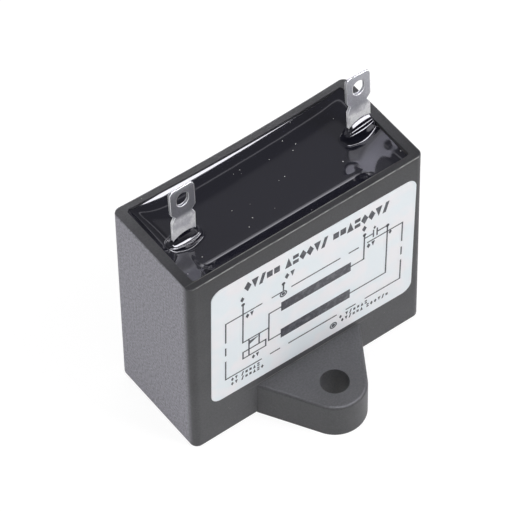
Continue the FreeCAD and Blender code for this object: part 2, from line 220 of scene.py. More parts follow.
def add_specks(tree, place, spacing, radius, sparseness):
    """A mask of round specks, each in a cell of its own. Radius is a share of the spacing."""
    cells = add_node(tree, "ShaderNodeTexVoronoi", {"Vector": place, "Scale": 1 / spacing})
    near = add_node(
        tree, "ShaderNodeMapRange", {"Value": cells, "From Min": radius * 1.5, "From Max": radius}
    )
    pick = add_node(tree, "ShaderNodeSeparateColor", {0: cells.outputs["Color"]})
    chosen = add_node(tree, "ShaderNodeMath", {0: pick, 1: sparseness}, operation="GREATER_THAN")
    return add_node(tree, "ShaderNodeMath", {0: near, 1: chosen}, operation="MULTIPLY")


def add_patches(tree, place, width, span, tones, detail=2.0, roughness=0.5, **settings):
    """Random patches of a real width: their pattern, and its tone, which runs over a span of the pattern."""
    pattern = add_node(
        tree,
        "ShaderNodeTexNoise",
        {"Vector": place, "Scale": 1 / width, "Detail": detail, "Roughness": roughness},
    )
    low, high = span
    first, last = tones
    inputs = {"Value": pattern, "From Min": low, "From Max": high, "To Min": first, "To Max": last}
    return pattern, add_node(tree, "ShaderNodeMapRange", inputs, **settings)


# The case's finish: how pale its walls are painted at their foot and at the rim, a painted light that stands
# in for the light the floor throws up on the lower walls, with painted shade higher up; how far from the
# middle the rim is palest and darkest, the width of the faint clouds in its colour, and how far inside the
# end walls' outer face their own finish starts and is full
FOOT_PAINTED_LIGHT, TOP_PAINTED_SHADE = 1.34, 0.84
RIM_HALF = 9 * MM
CLOUD_WIDTH = 9 * MM
END_START, END_FULL = 0.22 * MM, 0.02 * MM
# Where it is rubbed: below the rim's top, behind its front, and on the line where the ear leaves the wall.
# Along the rim's inner edge runs a painted highlight, standing in for the light that sharp edge catches
TOP_RUB = (0.2 * MM, 0.08 * MM)
FRONT_RUB = (0.26 * MM, 0.12 * MM)
INNER_EDGE_Y, INNER_EDGE_HALF = -9.16 * MM, 0.09 * MM
INNER_EDGE_X, INNER_EDGE_REACH = -3 * MM, 16.5 * MM
EAR_LINE_Z, EAR_LINE_HALF = 7.62 * MM, 0.1 * MM
EAR_LINE_REACH = 10.4 * MM
RUB_WIDTH = 1.6 * MM


def case_tone(look, tree, axes, upward):
    """How pale the plastic is, as a share of its colour.

    The walls pale downwards: painted light, standing in for the light that the floor throws up on their
    lower part, with painted shade towards the rim. The rim is the darkest at the front and the palest at the
    rear, and the ear's top is painted paler, a painted sheen.
    """
    # Painted light: the walls are painted paler towards their foot and darker towards the rim, as the
    # floor's light would fall
    wall = add_node(
        tree,
        "ShaderNodeMapRange",
        {"Value": axes.outputs["Z"], "From Max": CASE_HIGH.z, "To Min": FOOT_PAINTED_LIGHT, "To Max": TOP_PAINTED_SHADE},
    )
    rim = add_node(
        tree,
        "ShaderNodeMapRange",
        {
            "Value": axes.outputs["Y"],
            "From Min": -RIM_HALF,
            "From Max": RIM_HALF,
            "To Min": look.front_rim_tone,
            "To Max": look.rear_rim_tone,
        },
    )
    high = add_node(tree, "ShaderNodeMath", {0: axes.outputs["Z"], 1: MIDDLE.z}, operation="GREATER_THAN")
    # Upward faces low down, the ear's top, get the painted sheen; those high up get the rim's tone
    top = add_node(tree, "ShaderNodeMix", {0: high, 2: look.ear_sheen_tone, 3: rim})
    return add_node(tree, "ShaderNodeMix", {0: upward, 2: wall, 3: top})


def case_rubbing_and_highlight(tree, axes, place):
    """A mask of the case's rubbed edges and of a painted highlight along the rim's inner edge, broken up as
    rubbing leaves them.
    """
    top = add_node(
        tree,
        "ShaderNodeMapRange",
        {
            "Value": axes.outputs["Z"],
            "From Min": CASE_HIGH.z - TOP_RUB[0],
            "From Max": CASE_HIGH.z - TOP_RUB[1],
        },
        interpolation_type="SMOOTHSTEP",
    )
    front = add_node(
        tree,
        "ShaderNodeMapRange",
        {
            "Value": axes.outputs["Y"],
            "From Min": WALL_FRONT + FRONT_RUB[0],
            "From Max": WALL_FRONT + FRONT_RUB[1],
        },
        interpolation_type="SMOOTHSTEP",
    )
    # A painted highlight: a thin pale line along the rim's inner edge, where that sharp edge would catch
    # light
    inner = add_band(tree, axes.outputs["Y"], INNER_EDGE_Y, INNER_EDGE_HALF)
    inner_reach = add_band(tree, axes.outputs["X"], INNER_EDGE_X, INNER_EDGE_REACH)
    inner_edge_highlight = add_node(tree, "ShaderNodeMath", {0: inner, 1: inner_reach}, operation="MULTIPLY")
    ear = add_band(tree, axes.outputs["Z"], EAR_LINE_Z, EAR_LINE_HALF)
    ear_reach = add_band(tree, axes.outputs["X"], 0.0, EAR_LINE_REACH)
    in_front = add_node(tree, "ShaderNodeMath", {0: axes.outputs["Y"], 1: 0.0}, operation="LESS_THAN")
    ear_side = add_node(tree, "ShaderNodeMath", {0: ear_reach, 1: in_front}, operation="MULTIPLY")
    ear_line = add_node(tree, "ShaderNodeMath", {0: ear, 1: ear_side}, operation="MULTIPLY")
    outside = add_node(tree, "ShaderNodeMath", {0: top, 1: front}, operation="MULTIPLY")
    inside = add_node(tree, "ShaderNodeMath", {0: top, 1: inner_edge_highlight}, operation="MULTIPLY")
    # The rim's rubbed outer edge together with its painted inner highlight
    rim = add_node(tree, "ShaderNodeMath", {0: outside, 1: inside}, operation="MAXIMUM")
    edges = add_node(tree, "ShaderNodeMath", {0: rim, 1: ear_line}, operation="MAXIMUM")
    _, rubbed = add_patches(tree, place, RUB_WIDTH, (0.3, 0.6), (0.25, 0.85), detail=3.0, roughness=0.6)
    return add_node(tree, "ShaderNodeMath", {0: edges, 1: rubbed}, operation="MULTIPLY")


def moulded_black_pbt(look):
    """PBT filled with carbon black, moulded against a spark-eroded steel cavity.

    To the eye it is charcoal, never pure black: the fine grain spreads the light into a soft grey sheen.
    The end walls were left coarser, so they look speckled, and their paler colour is partly that coarser
    grain and partly a painted sheen.
    """
    material, tree, place = start_material("moulded_black_pbt")
    axes = add_node(tree, "ShaderNodeSeparateXYZ", {"Vector": place})
    along = add_node(tree, "ShaderNodeMath", {0: axes}, operation="ABSOLUTE")
    end = add_node(
        tree,
        "ShaderNodeMapRange",
        {"Value": along, "From Min": CASE_HIGH.x - END_START, "From Max": CASE_HIGH.x - END_FULL},
        interpolation_type="SMOOTHSTEP",
    )
    grain, fleck = add_patches(tree, place, look.grain, (0.3, 0.7), (0.82, 1.18), roughness=0.6)
    coarse, end_fleck = add_patches(
        tree, place, look.end_grain, (0.32, 0.68), (0.58, 1.42), detail=3.0, roughness=0.7
    )
    _, cloud = add_patches(tree, place, CLOUD_WIDTH, (0.3, 0.7), (0.9, 1.1))
    outward = add_node(tree, "ShaderNodeNewGeometry").outputs["Normal"]
    facing = add_node(tree, "ShaderNodeSeparateXYZ", {0: outward})
    upward = add_node(
        tree,
        "ShaderNodeMapRange",
        {"Value": facing.outputs["Z"], "From Min": 0.7, "From Max": 0.95},
        interpolation_type="SMOOTHSTEP",
    )
    tone = case_tone(look, tree, axes, upward)
    broken = add_node(tree, "ShaderNodeMath", {0: cloud, 1: fleck}, operation="MULTIPLY")
    shade = add_node(tree, "ShaderNodeMath", {0: broken, 1: tone}, operation="MULTIPLY")
    smooth_colour = add_node(
        tree, "ShaderNodeVectorMath", {0: look.colour[:3], "Scale": shade}, operation="SCALE"
    )
    end_colour_and_sheen = add_node(
        tree, "ShaderNodeVectorMath", {0: look.end_colour_and_sheen[:3], "Scale": end_fleck}, operation="SCALE"
    )
    # The end wall's grain and its paler colour, partly a painted sheen, die out towards the front upright,
    # which is left darker
    upright = add_node(
        tree,
        "ShaderNodeMapRange",
        {
            "Value": axes.outputs["Y"],
            "From Min": WALL_FRONT + look.upright_strip / 6,
            "From Max": WALL_FRONT + look.upright_strip,
        },
        interpolation_type="SMOOTHSTEP",
    )
    coarse_share = add_node(tree, "ShaderNodeMath", {0: end, 1: upright}, operation="MULTIPLY")
    colour = add_node(
        tree, "ShaderNodeMix", {0: coarse_share, 6: smooth_colour, 7: end_colour_and_sheen}, data_type="RGBA"
    )
    motes = add_specks(tree, place, look.dust_spacing, radius=0.055, sparseness=0.7)
    lying = add_node(tree, "ShaderNodeMapRange", {"Value": upward, "To Min": 0.3})
    dust = add_node(tree, "ShaderNodeMath", {0: motes, 1: lying}, operation="MULTIPLY")
    worn_and_highlight = case_rubbing_and_highlight(tree, axes, place)
    marks_and_highlight = add_node(tree, "ShaderNodeMath", {0: worn_and_highlight, 1: dust}, operation="MAXIMUM")
    finished = add_node(
        tree, "ShaderNodeMix", {0: marks_and_highlight, 6: colour, 7: look.worn_dust_and_highlight_colour}, data_type="RGBA"
    )
    dullness = add_node(
        tree,
        "ShaderNodeMapRange",
        {"Value": end, "To Min": look.roughness, "To Max": look.roughness + 0.1},
    )
    height = add_node(tree, "ShaderNodeMix", {0: end, 2: grain, 3: coarse})
    relief = add_node(tree, "ShaderNodeBump", {"Height": height, "Distance": look.grain_height})
    add_surface(
        tree,
        {
            "Base Color": finished,
            "Roughness": dullness,
            "Normal": relief,
            "IOR": 1.55,
            "Specular IOR Level": 0.3,
        },
    )
    return material


def cast_black_epoxy(look):
    """Black epoxy that levelled itself and cured in the open.

    To the eye it is a dark mirror with a soft skin: sharp highlights on raised edges and a little dust.
    """
    material, tree, place = start_material("cast_black_epoxy")
    speck = add_specks(tree, place, look.spacing, radius=0.06, sparseness=0.62)
    colour = add_node(
        tree, "ShaderNodeMix", {0: speck, 6: look.colour, 7: look.dust_colour}, data_type="RGBA"
    )
    dullness = (look.roughness * 0.7, look.roughness * 1.4)
    _, skin = add_patches(tree, place, 3 * MM, (0.0, 1.0), dullness, detail=3.0, roughness=0.6)
    dulled = add_node(tree, "ShaderNodeMix", {0: speck, 2: skin, 3: 0.7})
    swell = add_node(tree, "ShaderNodeTexNoise", {"Vector": place, "Scale": 1 / (5 * MM), "Detail": 1.0})
    relief = add_node(tree, "ShaderNodeBump", {"Height": swell, "Distance": 0.02 * MM})
    add_surface(tree, {"Base Color": colour, "Roughness": dulled, "Normal": relief, "IOR": 1.55})
    return material


def rolled_tinned_brass(look):
    """Brass strip, rolled, stamped and tinned.

    To the eye it is a pale grey metal with a satin face: faint rolling lines up the blade and duller
    patches. Flux has left it frosted near the resin, and it is more metallic towards its tip, where its head
    is painted darker, the left more than the right: painted shade, as of a head facing away from the light.
    Its stamped edges carry a painted highlight.
    """
    material, tree, place = start_material("rolled_tinned_brass")
    axes = add_node(tree, "ShaderNodeSeparateXYZ", {"Vector": place})
    # Painted shade on the heads above this height, which are also more metallic
    tarnish_and_shade = add_node(
        tree,
        "ShaderNodeMapRange",
        {"Value": axes.outputs["Z"], "From Min": look.bare_from, "From Max": look.bare_to},
        interpolation_type="SMOOTHSTEP",
    )
    rounded = add_node(tree, "ShaderNodeBevel", {"Radius": look.edge}, samples=8)
    flat = add_node(tree, "ShaderNodeNewGeometry").outputs["Normal"]
    agreement = add_node(tree, "ShaderNodeVectorMath", {0: rounded, 1: flat}, operation="DOT_PRODUCT")
    # Mask for the painted highlight: where the rounded normal turns away from the flat one
    edge = add_node(tree, "ShaderNodeMapRange", {"Value": agreement, "From Min": 0.995, "From Max": 0.9})
    stretched = add_node(
        tree, "ShaderNodeMapping", {"Vector": place, "Scale": (1.0, 1.0, 0.04)}, vector_type="POINT"
    )
    dullness = (look.roughness - 0.08, look.roughness + 0.14)
    lines, satin = add_patches(tree, stretched, look.streak, (0.0, 1.0), dullness, roughness=0.6)
    _, dull = add_patches(
        tree,
        place,
        2.2 * MM,
        (0.42, 0.68),
        (0.0, 0.8),
        detail=3.0,
        roughness=0.6,
        interpolation_type="SMOOTHSTEP",
    )
    bright = add_node(
        tree, "ShaderNodeMix", {0: dull, 6: look.colour, 7: look.dull_colour}, data_type="RGBA"
    )
    # Painted shade: the right blade's head is painted less dark than the left's
    right = add_node(tree, "ShaderNodeMath", {0: axes, 1: 0.0}, operation="GREATER_THAN")
    head = add_node(
        tree, "ShaderNodeMix", {0: right, 6: look.left_head_shade_colour, 7: look.right_head_shade_colour}, data_type="RGBA"
    )
    face = add_node(tree, "ShaderNodeMix", {0: tarnish_and_shade, 6: bright, 7: head}, data_type="RGBA")
    _, mottle = add_patches(tree, place, 0.3 * MM, (0.3, 0.7), (0.75, 1.0), roughness=0.7)
    mottled = add_node(tree, "ShaderNodeVectorMath", {0: face, "Scale": mottle}, operation="SCALE")
    colour = add_node(tree, "ShaderNodeMix", {0: edge, 6: mottled, 7: look.edge_highlight_colour}, data_type="RGBA")
    metal = add_node(tree, "ShaderNodeMapRange", {"Value": tarnish_and_shade, "To Min": 0.1, "To Max": 0.85})
    relief = add_node(tree, "ShaderNodeBump", {"Height": lines, "Distance": 0.004 * MM, "Normal": rounded})
    add_surface(tree, {"Base Color": colour, "Metallic": metal, "Roughness": satin, "Normal": relief})
    return material


def coated_label_paper(look):
    """Clay-coated paper with a pressure-sensitive back, cut on a die.

    To the eye it is a cool near-white with faint warmer patches and a smooth, hardly shining face.
    """
    material, tree, place = start_material("coated_label_paper")
    _, warm = add_patches(tree, place, 5 * MM, (0.42, 0.62), (0.0, 1.0))
    colour = add_node(
        tree, "ShaderNodeMix", {0: warm, 6: look.colour, 7: look.warm_colour}, data_type="RGBA"
    )
    fibre = add_node(
        tree, "ShaderNodeTexNoise", {"Vector": place, "Scale": 1 / (0.3 * MM), "Roughness": 0.6}
    )
    relief = add_node(tree, "ShaderNodeBump", {"Height": fibre, "Distance": 0.003 * MM})
    add_surface(tree, {"Base Color": colour, "Normal": relief, "Roughness": 0.5, "IOR": 1.5})
    return material


def screened_ink(look):
    """Screen-printed ink. To the eye it is a soft charcoal, a little thin in places."""
    material, tree, place = start_material("screened_ink")
    _, thin = add_patches(tree, place, 0.8 * MM, (0.45, 0.75), (0.0, 0.12), detail=3.0, roughness=0.6)
    colour = add_node(tree, "ShaderNodeMix", {0: thin, 6: look.ink, 7: look.colour}, data_type="RGBA")
    add_surface(tree, {"Base Color": colour, "Roughness": 0.45, "IOR": 1.5})
    return material


def fine_metal(name, colour, roughness, grain_mm, height_mm):
    """Sprayed, drawn or melted metal: a plain colour broken by a grain of its own width and height."""
    material, tree, place = start_material(name)
    grain, shade = add_patches(
        tree, place, grain_mm * MM, (0.3, 0.7), (0.85, 1.1), detail=3.0, roughness=0.6
    )
    tinted = add_node(tree, "ShaderNodeVectorMath", {0: colour[:3], "Scale": shade}, operation="SCALE")
    dullness = add_node(
        tree, "ShaderNodeMapRange", {"Value": grain, "To Min": roughness - 0.06, "To Max": roughness + 0.1}
    )
    relief = add_node(tree, "ShaderNodeBump", {"Height": grain, "Distance": height_mm * MM})
    add_surface(tree, {"Base Color": tinted, "Roughness": dullness, "Normal": relief, "Metallic": 1.0})
    return material


def wound_film(name, colour, turn_mm, metallic, roughness):
    """Polypropylene film wound flat. To the eye it is a stack of fine glossy lines round the roll."""
    material, tree, place = start_material(name)
    axes = add_node(tree, "ShaderNodeSeparateXYZ", {"Vector": place})
    turns = add_node(
        tree,
        "ShaderNodeTexWave",
        {"Vector": place, "Scale": 1 / (turn_mm * MM * 20), "Distortion": 1.5, "Detail": 1.0},
        bands_direction="Y",
    ).outputs["Fac"]
    ridge = add_node(
        tree,
        "ShaderNodeTexNoise",
        {"W": axes.outputs["X"], "Scale": 1 / (turn_mm * MM)},
        noise_dimensions="1D",
    )
    shade = add_node(tree, "ShaderNodeMapRange", {"Value": turns, "To Min": 0.8, "To Max": 1.1})
    tinted = add_node(tree, "ShaderNodeVectorMath", {0: colour[:3], "Scale": shade}, operation="SCALE")
    dullness = add_node(
        tree, "ShaderNodeMapRange", {"Value": ridge, "To Min": roughness - 0.05, "To Max": roughness + 0.1}
    )
    relief = add_node(tree, "ShaderNodeBump", {"Height": turns, "Distance": 0.01 * MM})
    add_surface(
        tree,
        {
            "Base Color": tinted,
            "Roughness": dullness,
            "Normal": relief,
            "Metallic": metallic,
            "IOR": 1.49,
        },
    )
    return material


def smooth_by_angle(mesh, degrees=28):
    """Shades a mesh smooth, apart from edges that turn by more than the angle."""
    mesh.polygons.foreach_set("use_smooth", [True] * len(mesh.polygons))
    mesh.set_sharp_from_angle(angle=math.radians(degrees))


def dress(node, material):
    """Gives a node of the frame its finish, with its shading smooth over curves and sharp at edges."""
    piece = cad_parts[node]
    piece.data.materials.clear()
    piece.data.materials.append(material)
    smooth_by_angle(piece.data)


def finish_piece(piece, material):
    """Links a new piece, gives it its material and lets it ride on the part."""
    bpy.context.scene.collection.objects.link(piece)
    piece.data.materials.append(material)
    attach(piece, "root")


class CAPACITOR_OT_case(bpy.types.Operator):
    """Give the moulded case its grained plastic"""

    bl_idname = "capacitor.case"
    bl_label = "Moulded case"

    def execute(self, context):
        dress("case_box", moulded_black_pbt(context.scene.capacitor_case))
        return {"FINISHED"}


# The cavity that the resin fills, in millimetres
CAVITY_HALF_LENGTH = RESIN_HIGH.x / MM
CAVITY_HALF_WIDTH = RESIN_HIGH.y / MM
CAVITY_CORNER = 0.6
REAR_BOW = 0.45
CASE_TALL = CASE_HIGH.z / MM
FLOOR_LEVEL = RESIN_LOW.z / MM
ROOM_UNDER_RIM = 0.12
WALL_STRIP = 0.6
# The collars where it climbs the terminals: where each blade stands, the contact's height at the blade's
# two edges, how much higher it is in the middle, and its profile: the distance from the blade, and the
# share of the height that is left there
COLLARS = (
    dict(
        x=-16.9,
        y=-0.1,
        edges=(1.55, 2.1),
        crown=0.66,
        profile=(
            (0.0, 1.0),
            (0.25, 0.78),
            (0.65, 0.57),
            (1.0, 0.47),
            (1.2, 0.455),
            (1.28, 0.41),
            (1.42, 0.395),
            (1.62, 0.2),
            (1.85, 0.08),
            (2.4, 0.0),
        ),
    ),
    dict(
        x=18.7,
        y=0.6,
        edges=(2.9, 3.5),
        crown=0.7,
        profile=(
            (0.0, 1.0),
            (0.55, 0.917),
            (0.61, 0.8),
            (0.85, 0.764),
            (0.91, 0.66),
            (1.15, 0.623),
            (1.3, 0.35),
            (1.5, 0.12),
            (1.75, 0.04),
            (2.3, 0.0),
        ),
    ),
)
BLADE_HALF_WIDTH = 2.2
BLADE_HALF_THICKNESS = 0.25
ROUNDING = 0.42
PROFILE_STEP = 0.01
PROFILE_SOFTNESS = 0.03
# Along the front wall it has a flank of even slope with a soft foot, given as distance from the wall and
# height. Along the rear wall its climb dies away from the wall, and is lower towards the right end.
FLANK = ((0.0, 1.92), (2.6, 0.36), (2.75, 0.285), (3.0, 0.19), (3.4, 0.09), (3.9, 0.03), (4.6, 0.0))
REAR_CLIMB = ((-21.0, 0.9), (-18.5, 1.16), (-15.0, 1.4), (21.0, 0.98))
REAR_REACH = 2.05
# The flank stops short of both front corners, where the surface is nearly flat and mirrors the blades. The
# climb up the left wall loses most of its height there.
FLANK_START = (-18.4, -17.3)
FLANK_END = (13.0, 15.5)
CORNER_SLOPE = 0.08
CORNER_REACH = 7.0
CORNER_START, CORNER_FULL = 9.5, 5.5
CORNER_LOSS = 0.85
# How several climbs that meet are merged: higher powers keep them more apart
MERGE_POWER = 1.8
# The surface's grid, which crowds at the walls and round the collars, each over its own reach
CELLS_LONG = 300
CELLS_WIDE = 318
CROWDING = 4.5
CROWDING_STEPS = 4001
WALL_CROWD = 1.6
COLLAR_CROWD_LONG = 3.2
COLLAR_CROWD_WIDE = 1.5
COLLAR_CROWD_FRONT = 1.0


def crowded(half, count, busy):
    """Places from -half to half that crowd where the surface is busy, given as (place, reach) pairs."""
    fine = np.linspace(-half, half, CROWDING_STEPS)
    density = 1 + sum(CROWDING * np.exp(-(((fine - place) / reach) ** 2)) for place, reach in busy)
    share = np.cumsum(density) - density[0]
    return np.interp(np.linspace(0, share[-1], count + 1), share, fine)


def cavity_plan(height):
    """Plan of a grid that fills the cavity at a height. Its rear bows inwards, its corners are round."""
    ends = [(-CAVITY_HALF_LENGTH, WALL_CROWD), (CAVITY_HALF_LENGTH, WALL_CROWD)]
    sides = [(-CAVITY_HALF_WIDTH, WALL_CROWD), (CAVITY_HALF_WIDTH, WALL_CROWD)]
    ends += [(collar["x"], COLLAR_CROWD_LONG) for collar in COLLARS]
    sides += [(collar["y"] - COLLAR_CROWD_FRONT, COLLAR_CROWD_WIDE) for collar in COLLARS]
    along = crowded(CAVITY_HALF_LENGTH, CELLS_LONG, ends)
    across = crowded(CAVITY_HALF_WIDTH, CELLS_WIDE, sides)
    y, x = np.meshgrid(across, along)
    bow = REAR_BOW * height / CASE_TALL * (1 - (x / CAVITY_HALF_LENGTH) ** 2)
    y = y - bow * (y + CAVITY_HALF_WIDTH) / (2 * CAVITY_HALF_WIDTH)
    inner_x = CAVITY_HALF_LENGTH - CAVITY_CORNER
    inner_y = CAVITY_HALF_WIDTH - CAVITY_CORNER
    over_x = np.abs(x) - inner_x
    over_y = np.abs(y) - inner_y
    reach = np.hypot(over_x, over_y)
    corner = (over_x > 0) & (over_y > 0)
    pull = np.where(corner, np.maximum(over_x, over_y) / np.maximum(reach, 1e-9), 1.0)
    x = np.where(corner, np.sign(x) * (inner_x + over_x * pull), x)
    y = np.where(corner, np.sign(y) * (inner_y + over_y * pull), y)
    return x, y


def softened(distance, knots):
    """The value at a distance of a profile given by a few knots, with its bends smoothed."""
    last = knots[-1][0]
    fine = np.arange(-4 * PROFILE_SOFTNESS, last + 4 * PROFILE_SOFTNESS, PROFILE_STEP)
    places, values = zip(*knots)
    steep = (values[0] - values[1]) / (places[1] - places[0])
    raw = np.interp(fine, places, values) + np.where(fine < 0, -fine * steep, 0)
    reach = int(4 * PROFILE_SOFTNESS / PROFILE_STEP)
    kernel = np.exp(-0.5 * (np.arange(-reach, reach + 1) * PROFILE_STEP / PROFILE_SOFTNESS) ** 2)
    smooth = np.convolve(np.pad(raw, reach, mode="edge"), kernel / kernel.sum(), mode="valid")
    return np.interp(distance, fine, smooth)


def smooth_step(value, start, end):
    """From 0 at the start to 1 at the end, level at both."""
    share = np.clip((value - start) / (end - start), 0, 1)
    return share * share * (3 - 2 * share)


def collar_rise(x, y, collar):
    """Rise of the resin round one terminal: it climbs highest up the middle of each face.

    Its side has the small steps of resin that was added as it cured, and is rounder than the blade.
    """
    across = np.clip((x - collar["x"]) / BLADE_HALF_WIDTH, -1, 1)
    left, right = collar["edges"]
    height = (left + right) / 2 + (right - left) / 2 * across
    past_edge = np.maximum(np.abs(x - collar["x"]) - (BLADE_HALF_WIDTH - BLADE_HALF_THICKNESS), 0)
    gap = np.maximum(np.hypot(past_edge, y - collar["y"]) - BLADE_HALF_THICKNESS, 0)
    share = softened(gap * (1 + ROUNDING * across**2), collar["profile"])
    return height * share + collar["crown"] * (1 - across**2) * share**2


def surface_rise(x, y, look):
    """Rise of the resin above its level at the front wall, from its slope, the walls and the terminals."""
    bow = REAR_BOW * (1 - (x / CAVITY_HALF_LENGTH) ** 2)
    end_gap = CAVITY_HALF_LENGTH - np.abs(x)
    rear_gap = np.maximum(CAVITY_HALF_WIDTH - bow - y, 0)
    front_gap = CAVITY_HALF_WIDTH + y
    slope = look.rear_rise / MM * front_gap / (2 * CAVITY_HALF_WIDTH)
    flank_share = smooth_step(x, *FLANK_START) * (1 - smooth_step(x, *FLANK_END))
    kept = 1 - CORNER_LOSS * smooth_step(front_gap, CORNER_START, CORNER_FULL)
    left_end = look.end_climb / MM * np.exp(-end_gap * MM / look.end_reach) * kept
    right_end = look.right_climb / MM * np.exp(-end_gap * MM / look.right_reach)
    end = np.where(x < 0, left_end, right_end)
    rear = np.interp(x, *zip(*REAR_CLIMB)) * np.exp(-rear_gap / REAR_REACH)
    corner = CORNER_SLOPE * np.maximum(CORNER_REACH - front_gap, 0) * (1 - flank_share)
    front = softened(front_gap, FLANK) * flank_share + corner
    rises = [end, rear, front] + [collar_rise(x, y, collar) for collar in COLLARS]
    together = slope + sum(rise**MERGE_POWER for rise in rises) ** (1 / MERGE_POWER)
    under_rim = CASE_TALL - ROOM_UNDER_RIM - look.level / MM
    beside_wall = np.minimum(np.minimum(end_gap, rear_gap), front_gap) < WALL_STRIP
    return np.where(beside_wall, np.minimum(together, under_rim), together)


def resin_mesh(look):
    """Closed mesh of the resin: its fine upper surface, its sides against the case and its foot."""
    x, y = cavity_plan(CASE_TALL)
    z = look.level / MM + surface_rise(x, y, look)
    rows, columns = x.shape
    top = np.stack([x, y, z], -1).reshape(-1, 3)
    index = np.arange(rows * columns).reshape(rows, columns)
    cells = np.stack([index[:-1, :-1], index[1:, :-1], index[1:, 1:], index[:-1, 1:]], -1)
    faces = cells.reshape(-1, 4).tolist()
    smooth_count = len(faces)
    loop = np.concatenate([index[:-1, 0], index[-1, :-1], index[:0:-1, -1], index[0, :0:-1]])
    foot_x, foot_y = cavity_plan(FLOOR_LEVEL)
    foot = np.stack([foot_x, foot_y, np.full_like(foot_x, FLOOR_LEVEL)], -1).reshape(-1, 3)[loop]
    first = len(top)
    count = len(loop)
    for step in range(count):
        after = (step + 1) % count
        faces.append([int(loop[step]), first + step, first + after, int(loop[after])])
    faces.append([first + step for step in reversed(range(count))])
    mesh = bpy.data.meshes.new("resin_fill")
    mesh.from_pydata((np.vstack([top, foot]) * MM).tolist(), [], faces)
    mesh.polygons.foreach_set("use_smooth", [step < smooth_count for step in range(len(faces))])
    mesh.validate()
    return mesh


class CAPACITOR_OT_resin(bpy.types.Operator):
    """Model the resin's surface with its menisci"""

    bl_idname = "capacitor.resin"
    bl_label = "Potting resin"

    def execute(self, context):
        look = context.scene.capacitor_resin
        epoxy = cast_black_epoxy(look)
        piece = bpy.data.objects.new("resin_fill", resin_mesh(look))
        finish_piece(piece, epoxy)
        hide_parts("potting_resin")
        dress("potting_resin", epoxy)
        return {"FINISHED"}


class CAPACITOR_OT_terminals(bpy.types.Operator):
    """Give both blade terminals their tinned finish"""

    bl_idname = "capacitor.terminals"
    bl_label = "Blade terminals"

    def execute(self, context):
        material = rolled_tinned_brass(context.scene.capacitor_terminal)
        for node in TERMINAL_NODES:
            dress(node, material)
        return {"FINISHED"}


# The label's figure, in millimetres from the label's middle, to the right and up
CHAIN_LEFT, CHAIN_RIGHT, CHAIN_TOP, CHAIN_FOOT = -17.8, 18.1, 4.8, -9.7
LONG_RUNS = ((0.0, 0.2), (0.26, 0.31), (0.37, 0.64), (0.695, 0.745), (0.8, 1.0))
SHORT_RUNS = ((0.0, 0.32), (0.44, 0.56), (0.67, 1.0))
BAR_LEFT, BAR_RIGHT, BAR_HEIGHT = -6.65, 7.55, 2.25
UPPER_BAR, LOWER_BAR = 1.05, -5.9
FEED_X, FEED_TOP, FEED_FOOT = -14.35, 7.3, -2.55
BRACKET_X = -9.1
SWITCH_LEFT, SWITCH_RIGHT, SWITCH_FOOT = -13.1, -11.05, -6.6
WEDGE_TOP, WEDGE_TIP, WEDGE_FOOT = -3.05, -2.95, -3.95
RELAY_LEFT, RELAY_RIGHT, RELAY_TOP, RELAY_FOOT = -14.3, -9.7, -5.15, -6.8
RETURN_X, RETURN_TOP = 10.2, 7.2
LOOP_X = 14.95
BRANCH_Z, PLATE_LEFT, PLATE_RIGHT, PLATE_REACH = 6.3, 12.05, 12.8, 0.8
EARTH_X, EARTH_TOP, EARTH_RING, EARTH_RADIUS = -6.25, 6.7, 4.15, 0.75
KNOB_RADIUS = 0.36
# Rows of marks: left end, foot and how many marks each group has, and the ring before the last two
HEADING_LEFT, HEADING_FOOT, HEADING_HEIGHT = -14.1, 10.1, 2.4
HEADING_GROUPS = (5, 6, 8)
HEADING_ADVANCE = 1.45
ROW_HEIGHT, ROW_ADVANCE = 0.95, 0.8
ROWS = ((-16.7, -11.1, (2, 5)), (-16.7, -12.25, (2, 6)), (5.5, -11.25, (1, 6)), (5.9, -12.35, (6, 6)))
ROW_RING = (4.3, -12.0, 0.75)
# Marks beside the figure: left end, foot, height and how many
SIGNS = (
    (-14.9, 8.0, 1.35, 1),
    (-6.0, 7.45, 1.5, 2),
    (9.65, 8.1, 1.55, 1),
    (-13.8, 3.2, 1.2, 2),
    (10.75, 3.2, 1.25, 2),
    (12.0, 7.25, 0.9, 1),
    (15.25, 3.7, 1.1, 1),
    (-12.5, -8.35, 1.1, 2),
)
SIGN_ADVANCE = 0.75
GROUP_GAP = 0.6
MARK_STRETCH = 0.95
# The marks are plain shapes, as filled outlines in a cell one high and 0.6 wide
MARKS = (
    (((0.3, 0.0), (0.62, 0.5), (0.3, 1.0), (-0.02, 0.5)),),
    (
        ((0.05, 0.05), (0.55, 0.05), (0.55, 0.4), (0.05, 0.4)),
        ((0.05, 0.6), (0.55, 0.6), (0.55, 0.95), (0.05, 0.95)),
    ),
    (((0.0, 0.05), (0.6, 0.05), (0.3, 1.0)),),
    (((0.05, 0.2), (0.55, 0.2), (0.55, 0.8), (0.05, 0.8)),),
    (((0.0, 0.0), (0.3, 0.0), (0.6, 1.0), (0.3, 1.0)),),
    (((0.0, 0.95), (0.3, 0.0), (0.6, 0.95)),),
)


def add_block(bm, corners, height):
    """A thin closed block over flat corners, sunk a little into the paper."""
    low = [bm.verts.new((c[0], c[1], -height / 4)) for c in corners]
    high = [bm.verts.new((c[0], c[1], height)) for c in corners]
    count = len(corners)
    faces = [high, low[::-1]]
    faces += [[low[i], low[(i + 1) % count], high[(i + 1) % count], high[i]] for i in range(count)]
    for face in faces:
        bm.faces.new(face)


def add_stroke(bm, start, end, width, height):
    """A flat straight line of ink, as a thin closed block."""
    a = Vector(start)
    b = Vector(end)
    side = (b - a).normalized().orthogonal() * (width / 2)
    add_block(bm, [a - side, b - side, b + side, a + side], height)


